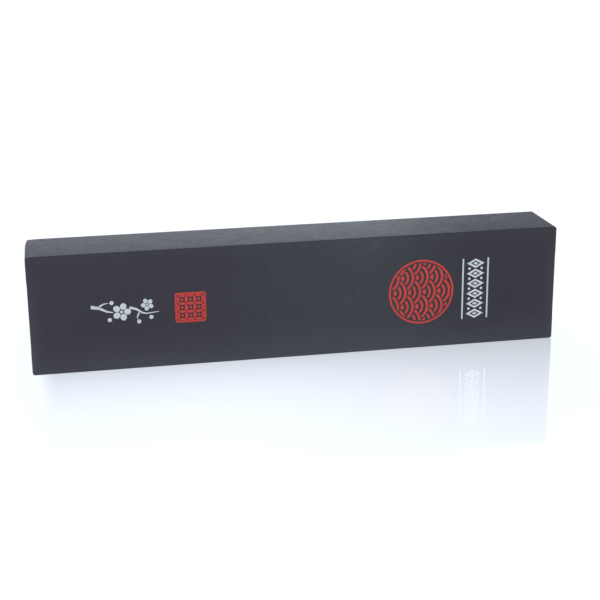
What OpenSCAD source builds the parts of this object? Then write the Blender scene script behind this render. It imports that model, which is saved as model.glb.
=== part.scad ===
// Boxed whetstone: a two-sided bench stone and its dressing stone, bedded in die-cut foam,
// in a paper-covered rigid box whose lid slides down over the whole depth of the base.
// The box stands on one long edge, with the broad face of the lid turned to the front:
// X runs along the box, Y from the lid's face to the base's underside, and Z is up.

/* [Whetstone] */
// Length of the whetstone
stone_l = 205; // [150:1:260]
// Width of the whetstone
stone_w = 50; // [40:1:80]
// Thickness of the whetstone, both layers together
stone_t = 25; // [18:0.5:40]
// Thickness of the fine layer, which faces the lid
fine_t = 10; // [5:0.5:14]
// Chamfer along the edges of the whetstone
stone_chamfer = 1.6; // [0.5:0.1:3]

/* [Dressing stone] */
// Size of the dressing stone along the box
nagura_l = 36; // [24:1:60]
// Size of the dressing stone across the box
nagura_w = 48; // [24:1:80]
// Thickness of the dressing stone
nagura_t = 22; // [15:0.5:40]
// Chamfer along the edges of the dressing stone
nagura_chamfer = 1.2; // [0.5:0.1:3]

/* [Foam] */
// Clearance round each stone in its well
well_gap = 0.5; // [0.3:0.1:1.5]
// Foam left beside the wells, along the box
rail_w = 3.6; // [2:0.1:12]
// Radius of the thumb notches at the ends of the wells
thumb_r = 9; // [6:0.5:14]
// Foam left behind a thumb notch
thumb_web = 7; // [3:0.5:20]
// Thickness of the foam bed under the stones
bed_t = 8.2; // [4:0.1:20]
// Thickness of the die-cut foam frame round the stones
frame_t = 20; // [10:0.5:24]
// Thickness of the foam pad glued inside the lid
lid_pad_t = 2; // [1:0.1:5]
// Clearance between the lid's pad and the walls of the base
lid_pad_gap = 1.5; // [0.5:0.1:4]
// Gap between the lid's pad and the thicker stone
head_gap = 0.6; // [0.3:0.1:3]

/* [Board and paper] */
// Thickness of the greyboard panels
board_t = 1.5; // [1.2:0.1:2.5]
// Thickness of the covering paper and of the lining paper
paper_t = 0.3; // [0.2:0.05:0.5]
// Radius of the covered outer edges
edge_r = 1.2; // [0.8:0.1:1.4]
// Width of the covering that is turned in over the rim
turn_in = 12; // [6:1:20]
// Thickness of the gummed paper on the corners
stay_t = 0.15; // [0.05:0.05:0.15]
// Width of each leg of a corner stay
stay_leg = 9; // [5:0.5:16]

/* [Lid fit] */
// Clearance between the lid and the base, on each side
lid_fit = 0.4; // [0.2:0.1:1]
// Gap between the rim of the base and the lining of the lid
seat_gap = 0.2; // [0.1:0.1:1]
// Distance from the rim of the lid to the underside of the base
rim_gap = 0.6; // [0.2:0.1:4]

/* [Hidden] */
$fn = 48;
// Overrun of a cutting solid past the face that it cuts
cut = 1;

// A wall is covering, board and lining; both walls stand beside the contents
wall_t = paper_t + board_t + paper_t;
both_walls = wall_t + lid_fit + wall_t;

// Wells for the stones, with equal bars of foam between and beyond them
bar_w = thumb_r + thumb_web;
stone_well_l = stone_l + 2 * well_gap;
nagura_well_l = nagura_l + 2 * well_gap;
well_w = max(stone_w, nagura_w) + 2 * well_gap;

// Room inside the base
inner_l = stone_well_l + nagura_well_l + 3 * bar_w;
inner_w = well_w + 2 * rail_w;
inner_d = bed_t + max(stone_t, nagura_t) + head_gap + lid_pad_t;

// Closed box, then the lid and the base by themselves
box_l = inner_l + 2 * both_walls;
box_w = inner_w + 2 * both_walls;
box_d = inner_d + 2 * wall_t;
lid_size = [box_l, box_w, box_d - rim_gap];
base_size = [inner_l + 2 * wall_t, inner_w + 2 * wall_t, box_d - wall_t - seat_gap];

// Places along the box of the stones, and the level of the foam bed
stone_x = inner_l / 2 - bar_w - stone_well_l / 2;
nagura_x = -inner_l / 2 + bar_w + nagura_well_l / 2;
bed_y = box_d / 2 - wall_t - bed_t;

echo(box_l = box_l, box_w = box_w, box_d = box_d);

// Flat shapes, centred

module rounded_rectangle(length, width, radius) {
    square([length - 2 * radius, width], center = true);
    square([length, width - 2 * radius], center = true);
    for (x = [-1, 1], y = [-1, 1])
        translate([x * (length / 2 - radius), y * (width / 2 - radius)])
            circle(radius);
}

module chamfered_rectangle(length, width, chamfer) {
    x = length / 2;
    y = width / 2;
    polygon([
        [x, y - chamfer], [x - chamfer, y], [chamfer - x, y], [-x, y - chamfer],
        [-x, chamfer - y], [chamfer - x, -y], [x - chamfer, -y], [x, chamfer - y]
    ]);
}

// Blocks that stand on the XY plane, with every edge rounded or chamfered

module rounded_block(size, radius) {
    intersection() {
        linear_extrude(size.z)
            rounded_rectangle(size.x, size.y, radius);
        translate([0, size.y / 2, size.z / 2])
            rotate([90, 0, 0])
                linear_extrude(size.y)
                    rounded_rectangle(size.x, size.z, radius);
        translate([-size.x / 2, 0, size.z / 2])
            rotate([90, 0, 90])
                linear_extrude(size.x)
                    rounded_rectangle(size.y, size.z, radius);
    }
}

module chamfered_block(size, chamfer) {
    intersection() {
        linear_extrude(size.z)
            chamfered_rectangle(size.x, size.y, chamfer);
        translate([0, size.y / 2, size.z / 2])
            rotate([90, 0, 0])
                linear_extrude(size.y)
                    chamfered_rectangle(size.x, size.z, chamfer);
        translate([-size.x / 2, 0, size.z / 2])
            rotate([90, 0, 90])
                linear_extrude(size.x)
                    chamfered_rectangle(size.y, size.z, chamfer);
    }
}

module block(length, width, bottom, top) {
    translate([-length / 2, -width / 2, bottom])
        cube([length, width, top - bottom]);
}

// Half a box, used for the lid and the base: its closed panel lies on the XY plane and
// its rim is at the top. size is the outer length, width and depth.

// The outer form of the half, drawn in by a distance from every face
module half_form(size, inset) {
    translate([0, 0, inset])
        rounded_block(size - 2 * inset * [1, 1, 1], edge_r - inset);
}

// The open space inside walls of the given thickness, up through the rim
module half_hollow(size, thickness) {
    block(size.x - 2 * thickness, size.y - 2 * thickness, thickness, size.z + cut);
}

// All the greyboard of the half, before it is divided into panels
module half_boards(size) {
    difference() {
        half_form(size, paper_t);
        half_hollow(size, paper_t + board_t);
    }
}

module face_board(size) {
    intersection() {
        half_boards(size);
        block(size.x, size.y, 0, paper_t + board_t);
    }
}

// The board along one long wall: side is 1 or -1 along the width
module long_board(size, side) {
    intersection() {
        half_boards(size);
        translate([0, side * (size.y / 2 - (paper_t + board_t) / 2), 0])
            block(size.x, paper_t + board_t, paper_t + board_t, size.z);
    }
}

// The board of one end wall, which fits between the two long boards
module end_board(size, side) {
    intersection() {
        half_boards(size);
        translate([side * (size.x / 2 - (paper_t + board_t) / 2), 0, 0])
            block(paper_t + board_t, size.y - 2 * (paper_t + board_t), paper_t + board_t, size.z);
    }
}

// Gummed paper folded round the four corners, which ties the boards together
module corner_stays(size) {
    leg = stay_leg + paper_t;
    intersection() {
        difference() {
            half_form(size, paper_t - stay_t);
            half_form(size, paper_t);
            half_hollow(size, paper_t + board_t);
        }
        for (x = [-1, 1], y = [-1, 1])
            translate([x * (size.x - leg) / 2, y * (size.y - leg) / 2, 0])
                block(leg, leg, paper_t + edge_r, size.z - paper_t - edge_r);
    }
}

module liner(size) {
    difference() {
        block(
            size.x - 2 * (paper_t + board_t), size.y - 2 * (paper_t + board_t),
            paper_t + board_t, size.z - turn_in
        );
        half_hollow(size, wall_t);
    }
}

// The covering paper: outside faces, round the rim, and turned in along the inside
module wrap(size) {
    difference() {
        half_form(size, 0);
        half_boards(size);
        corner_stays(size);
        liner(size);
        half_hollow(size, wall_t);
    }
}

// The lid's closed panel is at the front, and the base's is at the back

module place_lid() {
    translate([0, -box_d / 2, box_w / 2])
        mirror([0, 1, 0])
            rotate([90, 0, 0])
                children();
}

module place_base() {
    translate([0, box_d / 2, box_w / 2])
        rotate([90, 0, 0])
            children();
}

// Contents stand on the foam bed, and their tops face the lid
module place_on_bed(x) {
    translate([x, bed_y, box_w / 2])
        rotate([90, 0, 0])
            children();
}

module lid_wrap() { color("#26262b") place_lid() wrap(lid_size); }
module lid_liner() { color("#1d1d20") place_lid() liner(lid_size); }
module lid_face_board() { color("#8d8478") place_lid() face_board(lid_size); }
module lid_upper_board() { color("#8d8478") place_lid() long_board(lid_size, 1); }
module lid_lower_board() { color("#8d8478") place_lid() long_board(lid_size, -1); }
module lid_left_board() { color("#8d8478") place_lid() end_board(lid_size, -1); }
module lid_right_board() { color("#8d8478") place_lid() end_board(lid_size, 1); }
module lid_corner_stays() { color("#b59a6c") place_lid() corner_stays(lid_size); }

// Foam pad on the lining of the lid, which keeps the stones from rattling
module lid_pad() {
    margin = 2 * lid_pad_gap;
    color("#303036")
        place_lid()
            block(inner_l - margin, inner_w - margin, wall_t, wall_t + lid_pad_t);
}

module base_wrap() { color("#26262b") place_base() wrap(base_size); }
module base_liner() { color("#1d1d20") place_base() liner(base_size); }
module base_floor_board() { color("#8d8478") place_base() face_board(base_size); }
module base_upper_board() { color("#8d8478") place_base() long_board(base_size, 1); }
module base_lower_board() { color("#8d8478") place_base() long_board(base_size, -1); }
module base_left_board() { color("#8d8478") place_base() end_board(base_size, -1); }
module base_right_board() { color("#8d8478") place_base() end_board(base_size, 1); }
module base_corner_stays() { color("#b59a6c") place_base() corner_stays(base_size); }

module foam_bed() {
    color("#303036")
        place_base()
            block(inner_l, inner_w, wall_t, wall_t + bed_t);
}

// Outline of the foam frame: two wells, and thumb notches at both ends of the whetstone
// and at the outer end of the dressing stone
module frame_outline() {
    stone_end = stone_well_l / 2;
    difference() {
        square([inner_l, inner_w], center = true);
        translate([stone_x, 0])
            square([stone_well_l, stone_w + 2 * well_gap], center = true);
        translate([nagura_x, 0])
            square([nagura_well_l, nagura_w + 2 * well_gap], center = true);
        for (x = [stone_x - stone_end, stone_x + stone_end, nagura_x - nagura_well_l / 2])
            translate([x, 0])
                circle(thumb_r);
    }
}

module foam_frame() {
    color("#303036")
        place_on_bed(0)
            linear_extrude(frame_t)
                frame_outline();
}

module whetstone() {
    chamfered_block([stone_l, stone_w, stone_t], stone_chamfer);
}

module stone_coarse_layer() {
    color("#a4583c")
        place_on_bed(stone_x)
            intersection() {
                whetstone();
                block(stone_l, stone_w, 0, stone_t - fine_t);
            }
}

module stone_fine_layer() {
    color("#e2d6b8")
        place_on_bed(stone_x)
            intersection() {
                whetstone();
                block(stone_l, stone_w, stone_t - fine_t, stone_t);
            }
}

module dressing_stone() {
    color("#d9d5cb")
        place_on_bed(nagura_x)
            chamfered_block([nagura_l, nagura_w, nagura_t], nagura_chamfer);
}

lid_wrap();
lid_liner();
lid_face_board();
lid_upper_board();
lid_lower_board();
lid_left_board();
lid_right_board();
lid_corner_stays();
lid_pad();
base_wrap();
base_liner();
base_floor_board();
base_upper_board();
base_lower_board();
base_left_board();
base_right_board();
base_corner_stays();
foam_bed();
foam_frame();
stone_coarse_layer();
stone_fine_layer();
dressing_stone();
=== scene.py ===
"""Looks of the boxed whetstone, built round the frame of its solids.

A black paper-covered box stands on its long edge. Its lid lifts off a base that holds a two-layer
whetstone and a dressing stone in die-cut foam.
"""
import logging
import math
from dataclasses import dataclass
from enum import Enum
from typing import Callable, Mapping, Optional, Sequence, Union

import bmesh
import bpy
from mathutils import Matrix, Vector, noise
from mathutils.geometry import tessellate_polygon


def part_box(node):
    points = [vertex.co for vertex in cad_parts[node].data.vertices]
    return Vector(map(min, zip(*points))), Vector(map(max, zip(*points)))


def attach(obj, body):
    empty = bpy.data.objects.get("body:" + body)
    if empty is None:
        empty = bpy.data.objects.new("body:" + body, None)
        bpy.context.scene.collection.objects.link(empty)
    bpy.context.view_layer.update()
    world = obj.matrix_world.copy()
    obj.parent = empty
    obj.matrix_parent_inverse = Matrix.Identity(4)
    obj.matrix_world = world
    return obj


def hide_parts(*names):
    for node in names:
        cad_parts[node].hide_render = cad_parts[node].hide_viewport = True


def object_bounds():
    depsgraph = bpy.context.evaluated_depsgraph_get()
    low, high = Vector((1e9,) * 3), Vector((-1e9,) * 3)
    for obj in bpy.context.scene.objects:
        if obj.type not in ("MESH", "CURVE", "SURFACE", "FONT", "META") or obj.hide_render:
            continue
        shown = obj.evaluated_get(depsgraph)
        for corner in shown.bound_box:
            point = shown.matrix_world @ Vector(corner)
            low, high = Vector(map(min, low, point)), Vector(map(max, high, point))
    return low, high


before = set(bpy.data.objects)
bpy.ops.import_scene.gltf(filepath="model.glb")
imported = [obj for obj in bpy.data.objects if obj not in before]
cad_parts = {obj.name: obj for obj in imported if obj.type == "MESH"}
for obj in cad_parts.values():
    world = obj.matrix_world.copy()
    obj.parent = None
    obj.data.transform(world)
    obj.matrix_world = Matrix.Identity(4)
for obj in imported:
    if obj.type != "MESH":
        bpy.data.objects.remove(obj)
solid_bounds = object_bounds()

MM = 0.001
WEAR = "wear"
# Name of the painted bounce light that the covering's mesh carries: lighter along the foot and beside the
# folds.
PAINTED_BOUNCE = "painted_bounce"
MERGE_DISTANCE = 0.001 * MM
CUT_DISTANCE = 0.01 * MM
SHARP_ANGLE = math.radians(32)
# length of one band of a wave pattern at a scale of 1, in metres
WAVE_PERIOD = math.pi / 10

Triple = tuple[float, float, float]
Colour = Triple
Range = tuple[float, float]
Number = Union[float, "Wire"]
Shade = Union[Triple, "Wire"]
Output = Union[int, str]
Settings = Optional[Mapping[str, object]]
Sockets = Optional[Mapping[Union[int, str], object]]
Place = Callable[[float, float, float], Vector]
Profile = list[tuple[float, float]]
Outline = list[Vector]
Shape = list[Outline]

EVEN: Triple = (1.0, 1.0, 1.0)
log = logging.getLogger("boxed_whetstone")


class Body(Enum):
    """Bodies of the frame that a piece can ride on."""

    BASE = "base"
    LID = "lid"
    WHETSTONE = "whetstone"
    DRESSING_STONE = "dressing_stone"


class Wire:
    """A value that nodes work out, with operators that add Math nodes."""

    def __init__(self, graph: "Graph", socket: bpy.types.NodeSocket) -> None:
        """Keep the socket and the graph that it belongs to."""
        self.graph = graph
        self.socket = socket

    def maths(self, operation: str, *values: Number) -> "Wire":
        """Join values, in order, with one Math node."""
        return self.graph.wire("ShaderNodeMath", {"operation": operation}, dict(enumerate(values)))

    def __add__(self, other: Number) -> "Wire":
        """Add a value."""
        return self.maths("ADD", self, other)

    def __radd__(self, other: Number) -> "Wire":
        """Add to a value."""
        return self.maths("ADD", other, self)

    def __sub__(self, other: Number) -> "Wire":
        """Take a value away."""
        return self.maths("SUBTRACT", self, other)

    def __rsub__(self, other: Number) -> "Wire":
        """Take this away from a value."""
        return self.maths("SUBTRACT", other, self)

    def __mul__(self, other: Number) -> "Wire":
        """Multiply by a value."""
        return self.maths("MULTIPLY", self, other)

    def __rmul__(self, other: Number) -> "Wire":
        """Multiply a value by this."""
        return self.maths("MULTIPLY", other, self)

    def __rpow__(self, other: Number) -> "Wire":
        """Raise a value to this power."""
        return self.maths("POWER", other, self)

    def __abs__(self) -> "Wire":
        """Drop the sign."""
        return self.maths("ABSOLUTE", self)

    def at_least(self, low: float) -> "Wire":
        """Hold the value above a limit."""
        return self.maths("MAXIMUM", self, low)

    def centred(self) -> "Wire":
        """Shift values from 0 to 1 so that they lie round 0."""
        return self - 0.5

    def blend(self, other: "Wire", share: float) -> "Wire":
        """Mix in a share of another value."""
        return self * (1 - share) + other * share

    def smooth(self, low: float, high: float) -> "Wire":
        """Rise smoothly from 0 at a low value to 1 at a high one."""
        sockets = {"Value": self, "From Min": low, "From Max": high}
        return self.graph.wire("ShaderNodeMapRange", {"interpolation_type": "SMOOTHSTEP"}, sockets)


class Graph:
    """The nodes of one material, or of the world."""

    def __init__(self, owner: Union[bpy.types.Material, bpy.types.World]) -> None:
        """Start with an empty node tree."""
        owner.use_nodes = True
        self.tree = owner.node_tree
        self.tree.nodes.clear()

    def add(self, kind: str, settings: Settings = None, sockets: Sockets = None) -> bpy.types.Node:
        """Add one node.

        Args:
            kind: The node's type.
            settings: Its own properties, which are set first.
            sockets: Values or wires for its inputs, by name or number.

        Returns:
            The node.
        """
        node = self.tree.nodes.new(kind)
        for name, value in (settings or {}).items():
            setattr(node, name, value)
        for name, value in (sockets or {}).items():
            socket = node.inputs[name]
            if isinstance(value, Wire):
                self.tree.links.new(value.socket, socket)
            elif socket.type == "RGBA":
                socket.default_value = (*value, 1.0)
            else:
                socket.default_value = value
        return node

    def wire(
        self, kind: str, settings: Settings = None, sockets: Sockets = None, output: Output = 0
    ) -> Wire:
        """Add one node and take one of its outputs, by name or number."""
        return Wire(self, self.add(kind, settings, sockets).outputs[output])

    def vector(self, operation: str, *values: Shade, output: Output = 0) -> Wire:
        """Join vectors, in order, with one Vector Math node."""
        settings = {"operation": operation}
        return self.wire("ShaderNodeVectorMath", settings, dict(enumerate(values)), output)

    def axes(self, vector: Wire) -> list[Wire]:
        """Split a vector into its X, Y and Z."""
        split = self.add("ShaderNodeSeparateXYZ", None, {0: vector})
        return [Wire(self, socket) for socket in split.outputs]

    def place(self, stretch: Triple = EVEN) -> Wire:
        """Give the point on the piece in metres; patterns grow longer where stretch is below 1."""
        return self.vector("MULTIPLY", self.wire("ShaderNodeTexCoord", output="Object"), stretch)

    def cloud(self, size: float, stretch: Triple = EVEN, detail: float = 2.0) -> Wire:
        """Give cloudy values from 0 to 1, about a size in metres across, with finer layers of detail."""
        sockets = {"Vector": self.place(stretch), "Scale": 1 / size, "Detail": detail}
        return self.wire("ShaderNodeTexNoise", None, sockets)

    def cells(self, size: float, output: str = "Distance") -> Wire:
        """Give the cells of a grain: Distance from the middle of a cell, or its random Color."""
        sockets = {"Vector": self.place(), "Scale": 1 / size}
        return self.wire("ShaderNodeTexVoronoi", None, sockets, output)

    def carried(self, name: str) -> Wire:
        """Give a value that the mesh carries."""
        return self.wire("ShaderNodeAttribute", {"attribute_name": name}, None, "Fac")

    def mix(self, share: Number, first: Shade, second: Shade) -> Wire:
        """Mix two colours.

        Args:
            share: How much of the second colour shows, from 0 to 1.
            first: The colour at 0.
            second: The colour at 1.

        Returns:
            The mixed colour.
        """
        colour_a, colour_b, colour_out = 6, 7, 2
        sockets = {0: share, colour_a: first, colour_b: second}
        return self.wire("ShaderNodeMix", {"data_type": "RGBA"}, sockets, colour_out)

    def scaled(self, colour: Wire, factor: Wire) -> Wire:
        """Make a colour lighter or darker by a factor."""
        sockets = {0: colour, "Scale": factor}
        return self.wire("ShaderNodeVectorMath", {"operation": "SCALE"}, sockets)

    def bump(self, height: Wire, depth: float, strength: float) -> Wire:
        """Turn a height from 0 to 1 into a normal; depth is what 1 stands for, in metres."""
        sockets = {"Height": height, "Distance": depth, "Strength": strength}
        return self.wire("ShaderNodeBump", None, sockets)

    def skin(self, **sockets: Union[Number, Colour]) -> None:
        """Finish the material with one surface shader.

        Args:
            sockets: Its inputs, with underscores for spaces.
        """
        named = {name.replace("_", " "): value for name, value in sockets.items()}
        shader = self.wire("ShaderNodeBsdfPrincipled", None, named)
        self.add("ShaderNodeOutputMaterial", None, {"Surface": shader})


@dataclass(frozen=True)
class Finish:
    """A finish, from which one material is made."""

    name: str

    def material(self) -> bpy.types.Material:
        """Make the material.

        Returns:
            The material.
        """
        made = bpy.data.materials.new(self.name)
        self.lay(Graph(made))
        return made

    def lay(self, graph: Graph) -> None:
        """Lay the nodes, which each finish does in its own way."""
        raise NotImplementedError


@dataclass(frozen=True)
class RubAndSheen:
    """A pale patch of the covering, in millimetres of the frame: rubbed paper where it is broken up, painted
    sheen where it is even.
    """

    centre: Triple
    radius: float
    strength: float
    broken: bool = True

    def shade(self, graph: Graph, point: Wire, breakup: Wire) -> Wire:
        """Tell how pale the patch is.

        Args:
            graph: The paper's nodes.
            point: The point on the piece.
            breakup: Cloudy values, which show in a patch that is broken up.

        Returns:
            The paleness at the point.
        """
        centre = tuple(MM * value for value in self.centre)
        away = graph.vector("DISTANCE", point, centre, output="Value")
        patch = (1 - away.smooth(0.0, MM * self.radius)) * self.strength
        return patch * breakup if self.broken else patch


@dataclass(frozen=True)
class CoveringPaper(Finish):
    """Black laminated paper with a fine tooth, pale where folds and faces are rubbed.

    Its black is cloudy. It leans to blue on one stretch of the box and to violet towards both ends.
    Its gloss is duller at the right-hand end, where its black is also darkened as painted shade, and
    livelier away from the printed face. Painted bounce light lightens it along the foot and beside the
    folds, and even pale patches on the face are painted sheen.
    """

    name: str = "covering_paper"
    deep: Colour = (0.0255, 0.0285, 0.0370)
    light: Colour = (0.0325, 0.0350, 0.0450)
    violet: Colour = (0.0265, 0.0200, 0.0345)
    # Pale colour of rubbed paper, also used for the painted bounce light and the painted sheen.
    worn_and_lit: Colour = (0.11, 0.114, 0.125)
    roughness: float = 0.40
    glossiest: float = 0.29
    ior: float = 1.5
    mottle: float = 14 * MM
    mottle_gloss: float = 0.08
    pulp: float = 2.2 * MM
    pulp_run: Triple = (0.7, 1.0, 1.0)
    pulp_tone: float = 0.9
    pulp_gloss: float = 0.30
    laid: float = 0.8 * MM
    laid_run: Triple = (0.05, 1.0, 1.0)
    laid_tone: float = 0.3
    laid_relief: float = 0.35
    tooth: float = 0.32 * MM
    relief: float = 0.07 * MM
    relief_strength: float = 0.45
    bluest: float = 22 * MM
    blue_reach: Range = (20 * MM, 80 * MM)
    blue_wander: float = 40 * MM
    # The right-hand end: its gloss is duller, and its black is darkened as painted shade.
    dull_and_shade_reach: Range = (45 * MM, 115 * MM)
    dull_rise: float = 0.13
    painted_shade_fall: float = 0.12
    lively_reach: Range = (-20 * MM, 20 * MM)
    lively_fall: float = 0.065
    breakup: float = 2.2 * MM
    breakup_weight: float = 0.75
    breakup_edge: Range = (0.4, 0.75)
    wear_weight: float = 0.85
    wear_edge: Range = (0.72, 1.22)
    wear_tone: float = 0.8
    worn_gloss: float = 0.2
    # Painted bounce light: how much the margins and the foot are lightened.
    painted_bounce_tone: float = 0.47
    rubs_and_sheens: tuple[RubAndSheen, ...] = (
        # Patches that are broken up are rubbed paper; the even ones (broken=False) are painted sheen, soft
        # pale patches of reflected light.
        RubAndSheen((43, -20, 62.8), 6, 0.30),
        RubAndSheen((43, -20, 62.8), 4, 0.14, broken=False),
        RubAndSheen((36, -20, 68), 32, 0.13, broken=False),
        RubAndSheen((150, -20, 24), 2.5, 0.6),
        RubAndSheen((1, -20, 42), 5, 0.09, broken=False),
        RubAndSheen((7, -20, 44.5), 5, 0.09, broken=False),
        RubAndSheen((26, -20, 31), 6, 0.10, broken=False),
        RubAndSheen((33, -20, 34.5), 5, 0.10, broken=False),
        RubAndSheen((-146, 12, 67), 9, 0.35),
        RubAndSheen((80, 20, 20), 16, 0.15),
    )

    def paleness(self, graph: Graph, point: Wire) -> Wire:
        """Tell how pale the paper is, from the wear and the painted bounce light that its mesh carries, the
        rubbed patches and the patches of painted sheen.

        Args:
            graph: The material's nodes.
            point: The point on the piece.

        Returns:
            The paleness, from 0 to 1.
        """
        breakup = graph.cloud(self.breakup, detail=6.0)
        wear = graph.carried(WEAR) * self.wear_weight + breakup * self.breakup_weight
        # Wear at the folds, plus painted bounce light along the foot and beside the folds.
        pale = wear.smooth(*self.wear_edge) * self.wear_tone + graph.carried(PAINTED_BOUNCE) * self.painted_bounce_tone
        patches = breakup.smooth(*self.breakup_edge)
        for pale_patch in self.rubs_and_sheens:
            pale = pale + pale_patch.shade(graph, point, patches)
        return pale

    def lay(self, graph: Graph) -> None:
        """Lay tints, pulp, laid lines, tooth and wear, with painted bounce light, painted sheen and painted
        shade.

        Args:
            graph: The material's nodes.
        """
        mottle = graph.cloud(self.mottle, detail=3.0)
        pulp = graph.cloud(self.pulp, self.pulp_run, detail=3.0).centred()
        laid = graph.cloud(self.laid, self.laid_run)
        tooth = graph.cloud(self.tooth, detail=3.0)
        point = graph.place()
        along, back, _ = graph.axes(point)
        pale = self.paleness(graph, point)
        # Mask of the right-hand end, for duller gloss and painted shade.
        right = along.smooth(*self.dull_and_shade_reach)
        lively = back.smooth(*self.lively_reach)
        off_blue = abs(along - self.bluest) + mottle.centred() * self.blue_wander
        blue = graph.mix(mottle.blend(laid, self.laid_tone), self.deep, self.light)
        tinted = graph.mix(off_blue.smooth(*self.blue_reach), blue, self.violet)
        # Painted shade: the black darkens towards the right-hand end.
        body = graph.scaled(tinted, 1 + pulp * self.pulp_tone - right * self.painted_shade_fall)
        gloss = self.roughness + right * self.dull_rise - lively * self.lively_fall
        uneven = mottle.centred() * self.mottle_gloss + pulp * self.pulp_gloss + pale * self.worn_gloss
        height = tooth.blend(laid, self.laid_relief)
        # Base colour turns pale with wear, painted bounce light and painted sheen.
        graph.skin(
            Base_Color=graph.mix(pale, body, self.worn_and_lit),
            Roughness=(gloss + uneven).at_least(self.glossiest),
            Normal=graph.bump(height, self.relief, self.relief_strength),
            IOR=self.ior,
        )


@dataclass(frozen=True)
class FibrePaper(Finish):
    """Plain paper or board in which the fibres show."""

    dark: Colour
    light: Colour
    fibre: float
    fibre_run: Triple = (0.25, 1.0, 1.0)
    fibre_share: float = 0.6
    pulp: float = 9 * MM
    fleck_in_fibres: float = 3.0
    fleck_edge: Range = (0.1, 0.3)
    fleck_tone: float = 0.35
    roughness: float = 0.8
    gloss_play: float = 0.15
    relief: float = 0.08 * MM
    relief_strength: float = 0.5

    def lay(self, graph: Graph) -> None:
        """Lay pulp, fibres and flecks.

        Args:
            graph: The material's nodes.
        """
        pulp = graph.cloud(self.pulp, detail=4.0)
        fibres = graph.cloud(self.fibre, self.fibre_run, detail=4.0)
        flecks = 1 - graph.cells(self.fleck_in_fibres * self.fibre).smooth(*self.fleck_edge)
        body = graph.mix(pulp.blend(fibres, self.fibre_share), self.dark, self.light)
        graph.skin(
            Base_Color=graph.mix(flecks * self.fleck_tone, body, self.dark),
            Roughness=self.roughness + fibres.centred() * self.gloss_play,
            Normal=graph.bump(fibres, self.relief, self.relief_strength),
        )


@dataclass(frozen=True)
class Ink(Finish):
    """Screen-printed ink, a little uneven where the paper's tooth took less of it."""

    full: Colour
    thin: Colour
    spot: float = 1.1 * MM
    spot_edge: Range = (0.55, 0.85)
    spot_share: float = 0.4
    drift: float = 12 * MM
    drift_edge: Range = (0.35, 0.8)
    drift_share: float = 0.25
    tooth: float = 0.32 * MM
    roughness: float = 0.42
    gloss_play: float = 0.12
    relief: float = 0.04 * MM
    relief_strength: float = 0.3
    ior: float = 1.48

    def lay(self, graph: Graph) -> None:
        """Lay full and thin ink.

        Args:
            graph: The material's nodes.
        """
        spots = graph.cloud(self.spot, detail=5.0).smooth(*self.spot_edge)
        drift = graph.cloud(self.drift).smooth(*self.drift_edge)
        tooth = graph.cloud(self.tooth, detail=3.0)
        graph.skin(
            Base_Color=graph.mix(spots * self.spot_share + drift * self.drift_share, self.full, self.thin),
            Roughness=self.roughness + tooth * self.gloss_play,
            Normal=graph.bump(tooth, self.relief, self.relief_strength),
            IOR=self.ior,
        )


@dataclass(frozen=True)
class FoamFinish(Finish):
    """Closed-cell foam: fine cells, with a few larger ones that a cut has opened. Their hollows are painted
    dark as shade.
    """

    name: str = "charcoal_foam"
    wall: Colour = (0.105, 0.105, 0.113)
    # Painted shade in the hollows of the cells.
    pit_shade: Colour = (0.028, 0.028, 0.031)
    cell: float = 0.55 * MM
    cell_edge: Range = (0.05, 0.5)
    opened_in_cells: float = 4.0
    opened_edge: Range = (0.08, 0.26)
    opened_share: float = 0.45
    drift: float = 22 * MM
    drift_share: float = 0.2
    roughness: float = 0.78
    gloss_play: float = 0.15
    relief: float = 0.3 * MM
    relief_strength: float = 0.6

    def lay(self, graph: Graph) -> None:
        """Lay fine cells and opened ones.

        Args:
            graph: The material's nodes.
        """
        fine = 1 - graph.cells(self.cell).smooth(*self.cell_edge)
        opened = 1 - graph.cells(self.opened_in_cells * self.cell).smooth(*self.opened_edge)
        drift = graph.cloud(self.drift, detail=3.0)
        hollow = fine.blend(opened, self.opened_share)
        graph.skin(
            # Painted shade: the hollows of the cells are darker.
            Base_Color=graph.mix(hollow.blend(drift, self.drift_share), self.wall, self.pit_shade),
            Roughness=self.roughness + drift * self.gloss_play,
            Normal=graph.bump(1 - hollow, self.relief, self.relief_strength),
        )


@dataclass(frozen=True)
class Grit(Finish):
    """Bonded grit of a whetstone: grains of several shades, and pores between them, painted dark as shade.
    """

    body: Colour
    pale: Colour
    dark: Colour
    grain: float
    pale_grains: Range = (0.72, 1.0)
    pale_share: float = 0.55
    dark_grains: Range = (0.0, 0.22)
    dark_share: float = 0.45
    drift: float = 18 * MM
    drift_share: float = 0.18
    pore_in_grains: float = 2.6
    pore_edge: Range = (0.06, 0.2)
    # Painted shade: how much darker the pores are.
    pore_shade: float = 0.7
    pore_relief: float = 0.4
    tooth_in_grains: float = 0.7
    roughness: float = 0.86
    gloss_play: float = 0.12
    relief: float = 0.12 * MM
    relief_strength: float = 0.5

    def lay(self, graph: Graph) -> None:
        """Lay grains and pores.

        Args:
            graph: The material's nodes.
        """
        shade = graph.wire("ShaderNodeSeparateColor", None, {0: graph.cells(self.grain, "Color")})
        drift = graph.cloud(self.drift, detail=5.0)
        pores = 1 - graph.cells(self.pore_in_grains * self.grain).smooth(*self.pore_edge)
        tooth = graph.cloud(self.tooth_in_grains * self.grain, detail=4.0)
        pale = shade.smooth(*self.pale_grains) * self.pale_share + drift * self.drift_share
        dark = (1 - shade.smooth(*self.dark_grains)) * self.dark_share
        speckled = graph.mix(dark, graph.mix(pale, self.body, self.pale), self.dark)
        height = tooth.blend(1 - pores, self.pore_relief)
        graph.skin(
            # Painted shade: the pores are darker.
            Base_Color=graph.mix(pores * self.pore_shade, speckled, self.dark),
            Roughness=self.roughness + tooth.centred() * self.gloss_play,
            Normal=graph.bump(height, self.relief, self.relief_strength),
        )


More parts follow.
